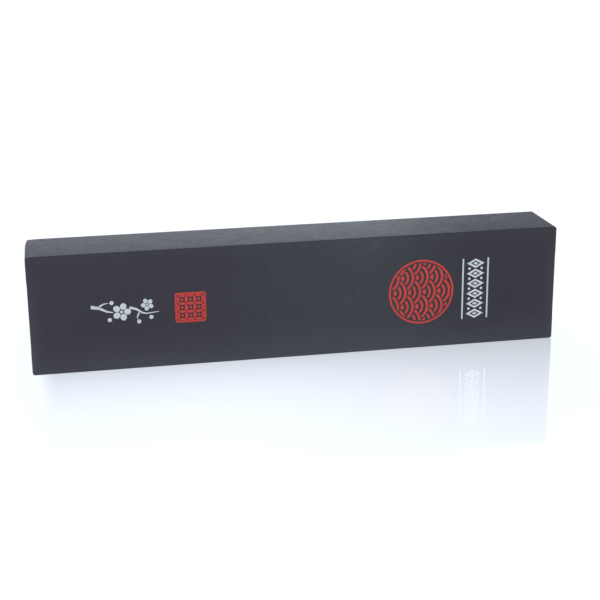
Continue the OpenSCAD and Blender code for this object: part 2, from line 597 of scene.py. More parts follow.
@dataclass(frozen=True)
class SawnStone(Finish):
    """Pale natural stone with faint beds, rusty flecks and the marks of the saw."""

    name: str = "sawn_dressing_stone"
    body: Colour = (0.64, 0.60, 0.52)
    bed: Colour = (0.46, 0.44, 0.40)
    rust: Colour = (0.33, 0.20, 0.10)
    bed_size: float = 5 * MM
    bed_run: Triple = (0.35, 1.6, 0.8)
    bed_edge: Range = (0.38, 0.72)
    bed_tone: float = 0.55
    fleck: float = 3.4 * MM
    fleck_edge: Range = (0.03, 0.13)
    fleck_tone: float = 0.6
    powder: float = 0.25 * MM
    powder_tone: float = 0.15
    saw_pitch: float = 8.796 * MM
    saw_run: Triple = (1.0, 0.2, 0.12)
    saw_wander: float = 1.5
    saw_relief: float = 0.6
    roughness: float = 0.84
    gloss_play: float = 0.1
    relief: float = 0.1 * MM
    relief_strength: float = 0.45

    def lay(self, graph: Graph) -> None:
        """Lay beds, flecks, stone powder and saw marks.

        Args:
            graph: The material's nodes.
        """
        beds = graph.cloud(self.bed_size, self.bed_run, detail=5.0).smooth(*self.bed_edge)
        flecks = 1 - graph.cells(self.fleck).smooth(*self.fleck_edge)
        powder = graph.cloud(self.powder, detail=3.0)
        sockets = {
            "Vector": graph.place(self.saw_run),
            "Scale": WAVE_PERIOD / self.saw_pitch,
            "Distortion": self.saw_wander,
            "Detail": 2.0,
        }
        saw = graph.wire("ShaderNodeTexWave", {"bands_direction": "X"}, sockets, "Fac")
        bedded = graph.mix(beds * self.bed_tone + powder * self.powder_tone, self.body, self.bed)
        height = powder.blend(saw, self.saw_relief)
        graph.skin(
            Base_Color=graph.mix(flecks * self.fleck_tone, bedded, self.rust),
            Roughness=self.roughness + powder.centred() * self.gloss_play,
            Normal=graph.bump(height, self.relief, self.relief_strength),
        )


def even_shares(steps: int, *more: float) -> list[float]:
    """Divide a side into even parts and at more shares, in order from 0 to 1."""
    return sorted({*(step / steps for step in range(steps + 1)), *more})


def arc(start: float, end: float, steps: int) -> list[float]:
    """Divide an arc between angles in degrees, as angles in radians with both ends."""
    return [math.radians(start + (end - start) * k / steps) for k in range(steps + 1)]


def heading(angle: float) -> Vector:
    """Give the direction at an angle, in the plane of a plan."""
    return Vector((math.cos(angle), math.sin(angle)))


def spread(start: float, end: float, steps: int) -> list[float]:
    """Divide a length, as the values after its start up to its end."""
    return [start + (end - start) * (k + 1) / steps for k in range(steps)]


def rounding(radius: float, steps: int) -> Profile:
    """Round an edge from its face to its side, as insets and depths."""
    return [(radius * (1 - math.sin(a)), radius * (1 - math.cos(a))) for a in arc(0, 90, steps)]


def ease(value: float) -> float:
    """Ease a value from 0 to 1, held at both ends."""
    held = min(max(value, 0.0), 1.0)
    return held * held * (3 - 2 * held)


@dataclass(frozen=True)
class Extent:
    """Lowest and highest corner of a solid of the frame."""

    low: Vector
    high: Vector

    @classmethod
    def of(cls, node: str) -> "Extent":
        """Take the corners of a solid by name."""
        return cls(*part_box(node))

    @property
    def size(self) -> Vector:
        """Give the lengths of the sides."""
        return self.high - self.low

    @property
    def middle(self) -> Vector:
        """Give the middle."""
        return (self.low + self.high) / 2

    def gaps(self, point: Vector) -> list[float]:
        """Tell how far a point lies from the nearer side of each pair, least first."""
        return sorted(min(point[k] - self.low[k], self.high[k] - point[k]) for k in range(3))

    def behind(self, u: float, v: float, depth: float) -> Vector:
        """Give the point at a place on the front and a depth behind it."""
        middle = self.middle
        return Vector((middle.x + u, self.low.y + depth, middle.z + v))


@dataclass(frozen=True)
class Plan:
    """Rectangle with round corners, and the shares at which its sides are divided."""

    length: float
    width: float
    corner: float
    long_shares: Sequence[float]
    short_shares: Sequence[float]
    corner_steps: int = 6

    def ring(self, inset: float) -> Outline:
        """Go once round the outline, clockwise from the left end of its upper side.

        Args:
            inset: How far the outline is drawn in; past the corner radius its corners are sharp.

        Returns:
            Points in the plane of the plan.
        """
        radius = max(self.corner - inset, 0.0)
        flat = Vector((self.length / 2 - inset - radius, self.width / 2 - inset - radius))
        bends = []
        for turn, (x, y) in enumerate(((1, 1), (1, -1), (-1, -1), (-1, 1))):
            centre = Vector((x * flat.x, y * flat.y))
            angles = arc(90 * (1 - turn), -90 * turn, self.corner_steps)
            bends.append([centre + radius * heading(a) for a in angles])
        points: Outline = []
        for turn, bend in enumerate(bends):
            start = bends[turn - 1][-1]
            shares = self.short_shares if turn % 2 else self.long_shares
            points += [start.lerp(bend[0], share) for share in shares[:-1]]
            points += bend[:-1]
        return points

    def grid_ring(self) -> list[tuple[int, int]]:
        """Take the same walk as ring, as places in a grid of the shares.

        Returns:
            The places, in which a corner repeats.
        """
        i, j = len(self.long_shares) - 1, len(self.short_shares) - 1
        walk = [(k, j) for k in range(i)] + [(i, j)] * self.corner_steps
        walk += [(i, j - k) for k in range(j)] + [(i, 0)] * self.corner_steps
        walk += [(i - k, 0) for k in range(i)] + [(0, 0)] * self.corner_steps
        return walk + [(0, k) for k in range(j)] + [(0, j)] * self.corner_steps


class Loft:
    """A skin of rings that follow one plan, with a flat panel over one end or both."""

    def __init__(self, plan: Plan, place: Place) -> None:
        """Start an empty skin; place turns plan and depth into a point of the frame."""
        self.plan = plan
        self.place = place
        self.mesh = bmesh.new()
        self.rim: list[bmesh.types.BMVert] = []

    def _join(self, ring: list[bmesh.types.BMVert]) -> None:
        """Join the last ring to a new one and go on from there.

        Args:
            ring: The new ring, in which a corner may repeat.
        """
        count = len(ring)
        for k in range(count if self.rim else 0):
            after = (k + 1) % count
            corners = dict.fromkeys((self.rim[k], self.rim[after], ring[after], ring[k]))
            if len(corners) > 2:
                self.mesh.faces.new(corners)
        self.rim = ring

    def rings(self, profile: Profile) -> None:
        """Go on through outlines, each drawn in by an inset, at a depth."""
        for inset, depth in profile:
            self._join([self.mesh.verts.new(self.place(*p, depth)) for p in self.plan.ring(inset)])

    def panel(self, inset: float, depth: float) -> None:
        """Lay a flat panel over the end.

        Args:
            inset: How far its outline is drawn in, at least the corner radius.
            depth: Where it lies.
        """
        a = self.plan.length / 2 - inset
        b = self.plan.width / 2 - inset
        knots = {
            (k, m): self.mesh.verts.new(self.place(a * (2 * u - 1), b * (2 * v - 1), depth))
            for k, u in enumerate(self.plan.long_shares)
            for m, v in enumerate(self.plan.short_shares)
        }
        for k in range(len(self.plan.long_shares) - 1):
            for m in range(len(self.plan.short_shares) - 1):
                corners = ((k, m), (k + 1, m), (k + 1, m + 1), (k, m + 1))
                self.mesh.faces.new([knots[corner] for corner in corners])
        self._join([knots[place] for place in self.plan.grid_ring()])


def drawn_in(outline: Sequence[Vector], distance: float) -> Outline:
    """Move an outline to its left, where its material is.

    Args:
        outline: Points in order; the material is on the left of the way round.
        distance: How far each side moves.

    Returns:
        The moved points.
    """
    moved = []
    for k, point in enumerate(outline):
        before = (point - outline[k - 1]).normalized()
        after = (outline[(k + 1) % len(outline)] - point).normalized()
        left = Vector((-before.y, before.x))
        left_after = Vector((-after.y, after.x))
        moved.append(point + distance * (left + left_after) / (1 + left.dot(left_after)))
    return moved


def cut_out(mesh: bmesh.types.BMesh, shape: Shape, profile: Profile, place: Place) -> None:
    """Cut a shape with holes out of a sheet.

    Args:
        mesh: The mesh to which it is added, closed.
        shape: The outer outline and its holes, each with the material on its left.
        profile: Steps through the sheet, each an inset of the outlines and a depth.
        place: Turns a point of the outline and a depth into a point of the frame.
    """
    layers = []
    for inset, depth in profile:
        rings = [drawn_in(outline, inset) for outline in shape]
        verts = [[mesh.verts.new(place(*p, depth)) for p in ring] for ring in rings]
        layers.append((rings, verts))
    for (_, low), (_, high) in zip(layers, layers[1:]):
        for ring_low, ring_high in zip(low, high):
            for k in range(len(ring_low)):
                mesh.faces.new([ring_low[k - 1], ring_low[k], ring_high[k], ring_high[k - 1]])
    for rings, verts in (layers[0], layers[-1]):
        flat = [vert for ring in verts for vert in ring]
        for corners in tessellate_polygon([[p.to_3d() for p in ring] for ring in rings]):
            mesh.faces.new([flat[k] for k in corners])


def make_piece(name: str, mesh: bmesh.types.BMesh, finish: bpy.types.Material) -> bpy.types.Object:
    """Turn a mesh into a shaded piece in the scene.

    Args:
        name: The piece's name.
        mesh: Its mesh in the frame, which is used up.
        finish: Its material.

    Returns:
        The piece.
    """
    bmesh.ops.remove_doubles(mesh, verts=mesh.verts, dist=MERGE_DISTANCE)
    bmesh.ops.recalc_face_normals(mesh, faces=mesh.faces)
    data = bpy.data.meshes.new(name)
    mesh.to_mesh(data)
    mesh.free()
    data.shade_smooth()
    data.set_sharp_from_angle(angle=SHARP_ANGLE)
    data.materials.append(finish)
    piece = bpy.data.objects.new(name, data)
    bpy.context.scene.collection.objects.link(piece)
    return piece


def settle(piece: bpy.types.Object, body: Body, slot: str, *nodes: str) -> None:
    """Let a piece ride on a body and stand for solids of the frame.

    Args:
        piece: The piece, in place.
        body: What it moves with.
        slot: Not used.
        nodes: The solids that it stands for.
    """
    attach(piece, body.value)
    if nodes:
        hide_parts(*nodes)
    log.info("%s rides on %s, %d faces", piece.name, body.value, len(piece.data.polygons))


def dress(finish: bpy.types.Material, nodes: Sequence[str]) -> None:
    """Give solids of the frame a finish.

    Args:
        finish: The material.
        nodes: Names of the solids.
    """
    for node in nodes:
        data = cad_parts[node].data
        data.materials.clear()
        data.materials.append(finish)
        log.info("%s takes %s", node, finish.name)


@dataclass
class Knock:
    """The corner of the lid's rim that was knocked in: upper wall, left end."""

    push: float = 1.0 * MM
    sink: float = 0.30 * MM
    reach_from_rim: float = 14 * MM
    reach_down_end: float = 11 * MM
    reach_along_top: float = 8 * MM
    give: float = 2.6 * MM
    cut_spacing: float = 1.0 * MM

    def __post_init__(self) -> None:
        """Take the corner from the lid's covering."""
        box = Extent.of("lid_wrap")
        self.corner = Vector((box.low.x, box.high.y, box.high.z))

    def press(self, point: Vector) -> float:
        """Move a point of the lid as the knock did.

        Args:
            point: The point, which is moved.

        Returns:
            How hard the point was hit, from 0 to 1.
        """
        inward = point.x - self.corner.x
        below = self.corner.z - point.z
        rim = max(0.0, 1 - (self.corner.y - point.y) / self.reach_from_rim) ** 2
        end = ease(1 - below / self.reach_down_end)
        top = ease(1 - inward / self.reach_along_top)
        point.x += self.push * rim * end * max(0.0, 1 - inward / self.give)
        point.z -= self.sink * rim * top * max(0.0, 1 - below / self.give)
        return rim * end * top

    def pressed(self, node: str, finish: bpy.types.Material, slot: str) -> None:
        """Make a piece that stands for a solid and took the knock too.

        Args:
            node: The solid.
            finish: Its material.
            slot: Its material slot.
        """
        mesh = bmesh.new()
        mesh.from_mesh(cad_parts[node].data)
        inwards = Vector((1, -1, -1))
        for axis, reach in enumerate((self.give, self.reach_from_rim, self.reach_down_end)):
            normal = Vector([float(axis == k) for k in range(3)])
            for step in range(1, round(reach / self.cut_spacing) + 1):
                bmesh.ops.bisect_plane(
                    mesh,
                    geom=[*mesh.verts, *mesh.edges, *mesh.faces],
                    plane_co=self.corner + normal * inwards[axis] * step * self.cut_spacing,
                    plane_no=normal,
                    dist=CUT_DISTANCE,
                )
        for vert in mesh.verts:
            self.press(vert.co)
        settle(make_piece(f"{node}_knocked", mesh, finish), Body.LID, slot, node)


@dataclass
class CoveredHalf:
    """The lid or the base: covering paper folded round boards, over the rim and in."""

    body: Body
    paper: bpy.types.Material
    knock: Optional[Knock] = None
    paper_thickness: float = 0.3 * MM
    wall: float = 2.1 * MM
    fold_radius: float = 0.9 * MM
    corner_radius: float = 1.4 * MM
    rim_radius: float = 0.8 * MM
    inner_radius: float = 0.5 * MM
    turn_in: float = 12 * MM
    print_relief: float = 0.04 * MM
    tab_reach: float = 14 * MM
    tab_edge: float = 1.0 * MM
    tab_relief: float = 0.1 * MM
    flap_margin: float = 2.2 * MM
    flap_edge: float = 0.12 * MM
    flap_relief: float = 0.06 * MM
    flap_start: float = 3 * MM
    wear_reach: float = 2.2 * MM
    corner_reach: float = 6.6 * MM
    fold_share: float = 0.35
    # Painted bounce light: its reach and share beside the folds, and how far up the foot it lightens.
    bounce_reach: float = 12 * MM
    bounce_below: float = 0.85
    bounce_above: float = 0.15
    foot_reach: float = 28 * MM
    foot_left: float = 0.6
    foot_taper: float = 60 * MM
    along_steps: int = 110
    across_steps: int = 56
    fold_steps: int = 6
    wall_steps: int = 14
    rim_steps: int = 5
    inner_steps: int = 4
    turn_in_steps: int = 5

    def __post_init__(self) -> None:
        """Take the size and the place from the solid covering."""
        self.node = f"{self.body.value}_wrap"
        self.box = Extent.of(self.node)
        self.to_rim = 1 if self.body is Body.LID else -1
        self.face_y = self.box.low.y if self.body is Body.LID else self.box.high.y

    def place(self, u: float, v: float, depth: float) -> Vector:
        """Give the point of the frame at a place on the panel and a depth behind it."""
        middle = self.box.middle
        return Vector((middle.x + u, self.face_y + self.to_rim * depth, middle.z + v))

    def plan(self) -> Plan:
        """Lay out the panel, with divisions along the edges of the flaps on the end walls.

        Returns:
            The plan.
        """
        size = self.box.size
        straight = size.z - 2 * self.corner_radius
        edges = [(self.flap_margin + step - self.corner_radius) / straight for step in (0.0, self.flap_edge)]
        across = even_shares(self.across_steps, *edges, *(1 - edge for edge in edges))
        return Plan(size.x, size.z, self.corner_radius, even_shares(self.along_steps), across)

    def skin(self) -> Loft:
        """Lay the covering from its panel over the folds and the rim, and in.

        Returns:
            The visible side of the paper.
        """
        depth = self.box.size.y
        squeeze = 1 - self.print_relief / self.fold_radius
        fold = rounding(self.fold_radius, self.fold_steps)
        rim = rounding(self.rim_radius, self.rim_steps)[::-1]
        inner = rounding(self.inner_radius, self.inner_steps)
        straight = spread(self.fold_radius, depth - self.rim_radius, self.wall_steps)
        turned = spread(depth - self.inner_radius, depth - self.turn_in, self.turn_in_steps)
        profile = [(inset, self.print_relief + squeeze * level) for inset, level in fold]
        profile += [(0.0, level) for level in straight]
        profile += [(inset, depth - level) for inset, level in rim[1:]]
        profile += [(self.wall - inset, depth - level) for inset, level in inner]
        profile += [(self.wall, level) for level in turned]
        skin = Loft(self.plan(), self.place)
        skin.panel(self.corner_radius, self.print_relief)
        skin.rings(profile)
        return skin

    def wear_and_bounce_at(self, point: Vector) -> tuple[float, float]:
        """Tell how much wear the covering shows near a fold, and how much painted bounce light lightens it.

        Args:
            point: A point of the covering.

        Returns:
            Wear of the fold itself, and painted bounce light on the paper beside the folds, which is most
            along the foot and least at the foot's left end.
        """
        _, to_fold, to_corner = self.box.gaps(point)
        fold = max(0.0, 1 - to_fold / self.wear_reach)
        corner = max(0.0, 1 - to_corner / self.corner_reach)
        # Painted bounce light: lighter towards the foot, as if lit from the floor, and beside the folds.
        rise = point.z - self.box.low.z
        from_left = ease((point.x - self.box.low.x) / self.foot_taper)
        taper = self.foot_left + (1 - self.foot_left) * from_left
        foot = taper * max(0.0, 1 - rise / self.foot_reach) ** 2
        share = self.bounce_below + (self.bounce_above - self.bounce_below) * rise / self.box.size.z
        margin = share * max(0.0, 1 - to_fold / self.bounce_reach) ** 2
        return fold * (self.fold_share + (1 - self.fold_share) * corner), max(foot, margin)

    def shape_ends(self, point: Vector) -> None:
        """Shape an end wall by what lies under its paper.

        The flap of the face's paper leaves a margin bare at both corners. Tabs from the long walls
        lie under the flap, so its middle is lower than its sides.

        Args:
            point: A point of the covering, which is moved.
        """
        middle, size = self.box.middle, self.box.size
        beyond = abs(point.x - middle.x) - size.x / 2 + self.wall / 2
        from_side = size.z / 2 - abs(point.z - middle.z)
        bare = ease((self.flap_margin + self.flap_edge - from_side) / self.flap_edge)
        bare *= ease(abs(point.y - self.face_y) / self.flap_start)
        untabbed = ease((from_side - self.tab_reach) / self.tab_edge)
        sunk = self.flap_relief * bare + self.tab_relief * untabbed
        point.x -= math.copysign(sunk * ease(2 * beyond / self.wall), point.x)

    def build(self) -> None:
        """Make the covering as a sheet of paper of even thickness."""
        mesh = self.skin().mesh
        wear = mesh.verts.layers.float.new(WEAR)
        # Layer for the painted bounce light along the foot and beside the folds.
        painted_bounce = mesh.verts.layers.float.new(PAINTED_BOUNCE)
        for vert in mesh.verts:
            vert[wear], vert[painted_bounce] = self.wear_and_bounce_at(vert.co)
            self.shape_ends(vert.co)
            if self.knock:
                vert[wear] += self.knock.press(vert.co)
        piece = make_piece(f"{self.body.value}_covering", mesh, self.paper)
        sheet = piece.modifiers.new("paper_thickness", "SOLIDIFY")
        sheet.thickness = self.paper_thickness
        sheet.offset = -1
        settle(piece, self.body, "covering_paper", self.node)


@dataclass
class LidPrint:
    """Printed ornament on the lid's face: blossom twig, seal, wave roundel and lozenge band.

    Each motif is drawn in millimetres with q up, which is towards the right-hand end of the box.
    """

    red: bpy.types.Material
    white: bpy.types.Material
    sink: float = 0.06 * MM
    twig_place: float = -98 * MM
    seal_place: float = -62 * MM
    roundel_place: float = 70 * MM
    band_place: float = 102 * MM

    def __post_init__(self) -> None:
        """Take the plane of the face from the lid's covering."""
        self.box = Extent.of("lid_wrap")

    def ink(
        self, name: str, shapes: list[Shape], along: float, finish: bpy.types.Material, slot: str
    ) -> None:
        """Print shapes on the face, half-way up.

        Args:
            name: Name of the piece.
            shapes: Each an outer outline and its holes, in millimetres.
            along: Where the motif sits along the box, from its middle.
            finish: The ink.
            slot: Its material slot.
        """

        def place(p: float, q: float, depth: float) -> Vector:
            """Turn a point of the motif into a point of the frame."""
            return Vector((along + q * MM, self.box.low.y + depth, self.box.middle.z - p * MM))

        mesh = bmesh.new()
        for shape in shapes:
            cut_out(mesh, shape, [(0.0, 0.0), (0.0, self.sink)], place)
        settle(make_piece(name, mesh, finish), Body.LID, slot)

    @staticmethod
    def circle(radius: float, centre: Vector, steps: int) -> Outline:
        """Draw a circle with its material inside."""
        return [centre + radius * heading(math.tau * k / steps) for k in range(steps)]

    @staticmethod
    def crest(outer: float, inner: float, centre: Vector, seen: Callable[[Vector], bool]) -> list[Shape]:
        """Draw what shows of the upper half of a ring.

        Args:
            outer: Its outer radius.
            inner: Its inner radius.
            centre: Its middle.
            seen: Tells whether a point shows.

        Returns:
            A shape for each stretch that shows.
        """
        rays, depths, fewest_rays, fewest_depths = 90, 24, 4, 4
        radii = spread(inner, outer, depths)
        stretches: list[list[tuple[Vector, Vector]]] = [[]]
        for angle in arc(0, 180, rays):
            shown = [p for p in (centre + radius * heading(angle) for radius in radii) if seen(p)]
            if len(shown) >= fewest_depths:
                stretches[-1].append((shown[0], shown[-1]))
            elif stretches[-1]:
                stretches.append([])
        return [
            [[far for _, far in stretch] + [near for near, _ in reversed(stretch)]]
            for stretch in stretches
            if len(stretch) >= fewest_rays
        ]

    def wave_roundel(self) -> list[Shape]:
        """Draw overlapping wave scales inside a ring.

        Returns:
            The shapes.
        """
        roundel, ring_width, gap = 19.0, 1.1, 0.8
        scale, rows, columns = 8.6, 6, 3
        strokes = ((1.0, 0.83), (0.66, 0.50), (0.33, 0.0))
        inside = roundel - ring_width - gap
        rims = [self.circle(radius, Vector((0, 0)), steps=96) for radius in (roundel, roundel - ring_width)]
        shapes = [[rims[0], rims[1][::-1]]]

        def seen(point: Vector, centre: Vector) -> bool:
            """Tell whether a point of a scale shows between the scales before it and the ring."""
            before = [centre + scale * Vector(step) for step in ((-1, -0.5), (1, -0.5), (0, -1))]
            return point.length < inside and all((point - b).length > scale + gap for b in before)

        for row in range(-rows, rows + 1):
            for column in range(-columns, columns + 1):
                centre = scale * Vector((2 * column + row % 2, row / 2))
                for outer, inner in strokes:
                    shapes += self.crest(scale * outer, scale * inner, centre, lambda p: seen(p, centre))
        return shapes

    def lozenge_band(self) -> list[Shape]:
        """Draw a row of hollow lozenges with beads, between two thin rules.

        Returns:
            The shapes.
        """
        count, pitch, half_width, half_height = 6, 6.0, 2.8, 5.2
        hollow, core = 0.56, 0.30
        bead_radius, bead_place = 0.75, 3.6
        rule_half, rule_width, rule_place = 18.0, 0.9, 7.4

        def lozenge(share: float, centre: Vector) -> Outline:
            """Draw one lozenge at a share of its full size."""
            tips = ((1, 0), (0, 1), (-1, 0), (0, -1))
            return [centre + share * Vector((x * half_width, y * half_height)) for x, y in tips]

        shapes = []
        for k in range(count):
            centre = Vector(((k - (count - 1) / 2) * pitch, 0))
            shapes.append([lozenge(1.0, centre), lozenge(hollow, centre)[::-1]])
            shapes.append([lozenge(core, centre)])
            for side in (-1, 1) if k else ():
                bead = centre + Vector((-pitch / 2, side * bead_place))
                shapes.append([self.circle(bead_radius, bead, steps=20)])
        for side in (-1, 1):
            low = side * rule_place - rule_width / 2
            high = side * rule_place + rule_width / 2
            corners = ((-rule_half, low), (rule_half, low), (rule_half, high), (-rule_half, high))
            shapes.append([[Vector(corner) for corner in corners]])
        return shapes

    def blossom(self, radius: float, centre: Vector, turn: float) -> list[Shape]:
        """Draw a blossom of five petals round a centre dot.

        Args:
            radius: Radius of the blossom.
            centre: Its place.
            turn: How far it is turned, in degrees.

        Returns:
            The shapes.
        """
        petals, dot = 5, 0.17
        petal_place, half_length, half_width = 0.62, 0.37, 0.335
        round_petal = self.circle(1.0, Vector((0, 0)), steps=28)
        shapes = [[self.circle(dot * radius, centre, steps=20)]]
        for k in range(petals):
            out = heading(math.radians(turn + 360 / petals * k))
            across = Vector((-out.y, out.x))
            middle = centre + petal_place * radius * out
            petal = [half_length * p.x * out + half_width * p.y * across for p in round_petal]
            shapes.append([[middle + radius * p for p in petal]])
        return shapes

    @staticmethod
    def twig(points: Sequence[tuple[float, float]], width: float) -> Shape:
        """Draw a tapering stroke through points.

        Args:
            points: Knots of its middle line.
            width: Its width at the start.

        Returns:
            One shape.
        """
        taper = 0.75
        knots = [Vector(p) for p in points]
        last = len(knots) - 1
        left, right = [], []
        for k, knot in enumerate(knots):
            along = (knots[min(k + 1, last)] - knots[max(k - 1, 0)]).normalized()
            aside = width / 2 * (1 - taper * k / last) * Vector((-along.y, along.x))
            left.append(knot + aside)
            right.append(knot - aside)
        return [right + left[::-1]]

    def blossom_twig(self) -> list[Shape]:
        """Draw a flowering twig that climbs along the box.

        Returns:
            The shapes.
        """
        bud_radius = 1.15
        shapes = [
            self.twig([(-3.6, -18.5), (-2.6, -14.0), (-0.4, -9.8), (0.2, -6.6)], width=2.0),
            self.twig([(-2.0, 2.4), (-1.0, 6.0), (1.4, 9.4), (1.9, 12.0), (1.2, 18.5)], width=1.5),
            self.twig([(-3.2, -14.5), (-5.0, -11.5), (-5.2, -9.0)], width=1.1),
            self.twig([(1.2, 7.6), (3.8, 6.4), (5.2, 6.9)], width=1.0),
        ]
        shapes += self.blossom(5.2, Vector((0.2, -2.0)), turn=90)
        shapes += self.blossom(3.6, Vector((-3.2, 12.2)), turn=62)
        for bud in ((-5.3, -7.2), (6.3, 7.4), (4.2, 14.2), (4.4, -8.6)):
            shapes.append([self.circle(bud_radius, Vector(bud), steps=24)])
        return shapes

    @staticmethod
    def leaf(length: float) -> Outline:
        """Draw a pointed leaf along p between two arcs, a little short of its length.

        Args:
            length: The length that it would fill.

        Returns:
            Its outline.
        """
        fit, steps = 0.93, 12
        radius = length / math.sqrt(2)
        sunk = Vector((0, -length / 2))
        upper = [radius * heading(angle) + sunk for angle in arc(45, 135, steps)]
        lower = [-p for p in upper]
        return [fit * p for p in upper[:-1] + lower[:-1]]

    def lattice_seal(self) -> list[Shape]:
        """Draw a framed lattice of leaf shapes with beads in its gaps.

        Returns:
            The shapes.
        """
        half, frame_width, gap, corner, corner_steps = 8.6, 1.0, 0.7, 1.4, 8
        cells, bead = 3, 0.16
        room = half - frame_width - gap
        pitch = 2 * room / cells
        sides = even_shares(1)
        plan = Plan(2 * half, 2 * half, corner, sides, sides, corner_steps)
        shapes = [[plan.ring(0)[::-1], plan.ring(frame_width)]]
        middles = [(cell + 0.5) * pitch - room for cell in range(cells)]
        for row in range(cells + 1):
            for p_middle in middles:
                leaf = [Vector((p_middle, row * pitch - room)) + p for p in self.leaf(pitch)]
                shapes += [[leaf], [[Vector((-p.y, p.x)) for p in leaf]]]
        for q_middle in middles:
            for p_middle in middles:
                shapes.append([self.circle(bead * pitch, Vector((p_middle, q_middle)), steps=20)])
        return shapes

    def build(self) -> None:
        """Print the four motifs."""
        self.ink("blossom_twig_print", self.blossom_twig(), self.twig_place, self.white, "white_ink")
        self.ink("lattice_seal_print", self.lattice_seal(), self.seal_place, self.red, "red_ink")
        self.ink("wave_roundel_print", self.wave_roundel(), self.roundel_place, self.red, "red_ink")
        self.ink("lozenge_band_print", self.lozenge_band(), self.band_place, self.white, "white_ink")


@dataclass
class FoamFitting:
    """Foam in the box: a bed, a die-cut frame round the stones, and a pad in the lid."""

    foam: bpy.types.Material
    clear: float = 0.15 * MM
    soft_edge: float = 0.7 * MM
    edge_share: float = 0.3
    cut_hollow: float = 0.3 * MM
    well_gap: float = 0.5 * MM
    thumb_radius: float = 9 * MM
    thumb_steps: int = 20
    corner: float = 1.6 * MM
    corner_steps: int = 5
    along_steps: int = 90
    across_steps: int = 22
    edge_steps: int = 4
    side_steps: int = 6
    frame_edge_steps: int = 5
    frame_side_steps: int = 8

    def cut_side(self, start: float, end: float, steps: int) -> Profile:
        """Give the slightly hollow side that a cut leaves.

        Args:
            start: Depth at which it starts.
            end: Depth at which it ends.
            steps: Number of parts.

        Returns:
            Insets and depths.
        """
        turn = math.pi / (end - start)
        levels = spread(start, end, steps)
        return [(self.cut_hollow * math.sin(turn * (level - start)), level) for level in levels]

    def finished(self, name: str, mesh: bmesh.types.BMesh, body: Body, node: str) -> None:
        """Make a padded piece of foam.

        Args:
            name: The piece's name.
            mesh: Its mesh, which is used up.
            body: What it moves with.
            node: The solid that it stands for.
        """
        piece = make_piece(name, mesh, self.foam)
        settle(piece, body, "foam", node)

    def slab(self, node: str, body: Body) -> None:
        """Make a plain sheet of foam with soft edges and slightly hollow cut sides.

        Args:
            node: The solid that it stands for.
            body: What it moves with.
        """
        box = Extent.of(node)
        depth = box.size.y
        edge = min(self.soft_edge, self.edge_share * depth)
        soft = rounding(edge, self.edge_steps)
        plan = Plan(
            box.size.x - 2 * self.clear,
            box.size.z - 2 * self.clear,
            self.corner,
            even_shares(self.along_steps),
            even_shares(self.across_steps),
            self.corner_steps,
        )
        skin = Loft(plan, box.behind)
        skin.panel(plan.corner, 0)
        skin.rings(soft)
        skin.rings(self.cut_side(edge, depth - edge, self.side_steps)[:-1])
        skin.rings([(inset, depth - level) for inset, level in reversed(soft)])
        skin.panel(plan.corner, depth)
        self.finished(f"{node}_sheet", skin.mesh, body, node)

    def well(self, node: str, notches: Sequence[int]) -> Outline:
        """Draw the cut round a stone, with the foam on the left of the way round.

        Args:
            node: The stone.
            notches: Ends that have a thumb notch: -1 for the left end and 1 for the right.

        Returns:
            Points along the box and up.
        """
        box = Extent.of(node)
        middle = Vector((box.middle.x, box.middle.z))
        half = Vector((box.size.x / 2 + self.well_gap, box.size.z / 2 + self.well_gap))
        points: Outline = []
        for end in (1, -1):
            points.append(Vector((end * half.x, end * half.y)))
            if end in notches:
                notch = [self.thumb_radius * heading(angle) for angle in arc(90, -90, self.thumb_steps)]
                points += [end * (Vector((half.x, 0)) + p) for p in notch]
            points.append(Vector((end * half.x, -end * half.y)))
        return [middle + p for p in points]

    def die_cut_frame(self) -> None:
        """Make the foam frame with its wells and thumb notches."""
        node = "foam_frame"
        low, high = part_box(node)
        corners = ((low.x, low.z), (high.x, low.z), (high.x, high.z), (low.x, high.z))
        outer = drawn_in([Vector(corner) for corner in corners], self.clear)
        wells = [self.well("stone_fine_layer", (-1, 1)), self.well("dressing_stone", (-1,))]
        profile = rounding(self.soft_edge, self.frame_edge_steps)
        profile += self.cut_side(self.soft_edge, high.y - low.y, self.frame_side_steps)
        mesh = bmesh.new()
        cut_out(mesh, [outer, *wells], profile, lambda x, z, depth: Vector((x, low.y + depth, z)))
        self.finished("die_cut_foam", mesh, Body.BASE, node)

    def build(self) -> None:
        """Make the three pieces of foam."""
        self.slab("foam_bed", Body.BASE)
        self.die_cut_frame()
        self.slab("lid_pad", Body.LID)


